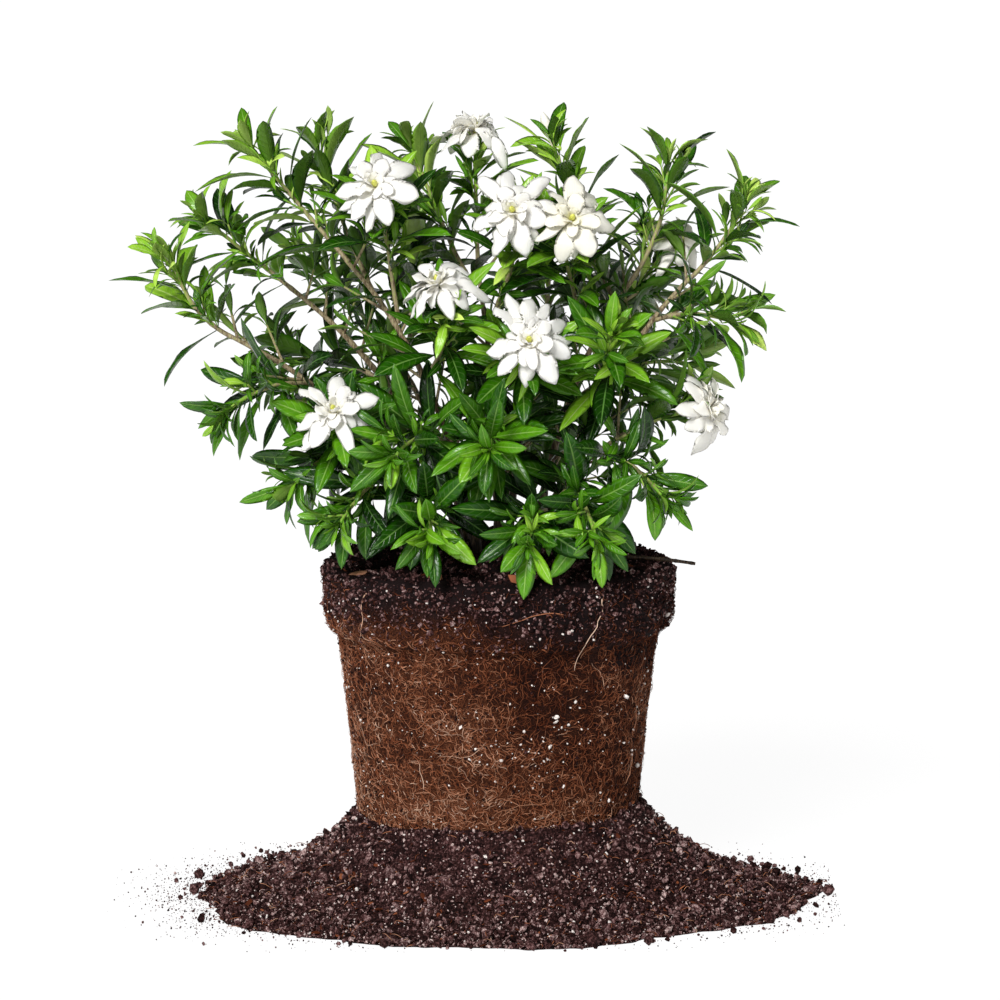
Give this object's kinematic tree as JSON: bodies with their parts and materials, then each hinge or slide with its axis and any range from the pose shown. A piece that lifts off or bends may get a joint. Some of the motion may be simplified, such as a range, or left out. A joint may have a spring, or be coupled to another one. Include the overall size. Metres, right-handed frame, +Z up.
{
  "type": "flowering gardenia shrub with bare root ball",
  "caption": "Leafy gardenia shrub with white double flowers, on its pot-shaped root ball standing in a low heap of loose potting soil.",
  "frame": {"origin": "on the axis of the root ball, in the plane that the soil heap rests on", "axes": "+Z up along the root ball's axis; -Y towards the front, where most of the flowers face; +X to the viewer's right"},
  "size_m": [0.5368, 0.3767, 0.605],
  "materials": {
    "moist_soil": "matt, crumbly, damp potting soil with white perlite",
    "root_mat": "matt felt of fine orange-brown roots over dark soil",
    "woody_bark": "dull, finely fissured grey-tan bark",
    "glossy_leaf": "waxy, glossy deep green above, duller and paler below",
    "white_petal": "soft satin white, thick petals"
  },
  "bodies": {
    "root": {"soil_heap": "moist_soil", "root_ball": "root_mat", "twig": "woody_bark", "stem_back": "woody_bark", "stem_back_left": "woody_bark", "stem_far_left": "woody_bark", "stem_far_right": "woody_bark", "stem_left": "woody_bark", "stem_low_right": "woody_bark", "stem_right": "woody_bark", "stem_top": "woody_bark", "stem_upper_left": "woody_bark", "shoot_back": "glossy_leaf", "shoot_back_left": "glossy_leaf", "shoot_centre": "glossy_leaf", "shoot_centre_left": "glossy_leaf", "shoot_centre_right": "glossy_leaf", "shoot_far_left": "glossy_leaf", "shoot_far_right": "glossy_leaf", "shoot_flower_back": "glossy_leaf", "shoot_flower_back_left": "glossy_leaf", "shoot_flower_behind": "glossy_leaf", "shoot_flower_centre": "glossy_leaf", "shoot_flower_cream": "glossy_leaf", "shoot_flower_front": "glossy_leaf", "shoot_flower_left": "glossy_leaf", "shoot_flower_low_left": "glossy_leaf", "shoot_flower_middle": "glossy_leaf", "shoot_flower_right": "glossy_leaf", "shoot_flower_top": "glossy_leaf", "shoot_left_back": "glossy_leaf", "shoot_left_middle": "glossy_leaf", "shoot_left_upper": "glossy_leaf", "shoot_low_back": "glossy_leaf", "shoot_low_back_left": "glossy_leaf", "shoot_low_front": "glossy_leaf", "shoot_low_left": "glossy_leaf", "shoot_low_left_front": "glossy_leaf", "shoot_low_right": "glossy_leaf", "shoot_low_right_front": "glossy_leaf", "shoot_lower_left": "glossy_leaf", "shoot_right_back": "glossy_leaf", "shoot_right_middle": "glossy_leaf", "shoot_right_upper": "glossy_leaf", "shoot_top_left": "glossy_leaf", "shoot_top_right": "glossy_leaf", "shoot_upper_left": "glossy_leaf", "shoot_upper_left_inner": "glossy_leaf", "flower_back": "white_petal", "flower_back_left": "white_petal", "flower_behind": "white_petal", "flower_centre": "white_petal", "flower_cream": "white_petal", "flower_front": "white_petal", "flower_left": "white_petal", "flower_low_left": "white_petal", "flower_middle": "white_petal", "flower_right": "white_petal", "flower_top": "white_petal"}
  },
  "joints": []
}
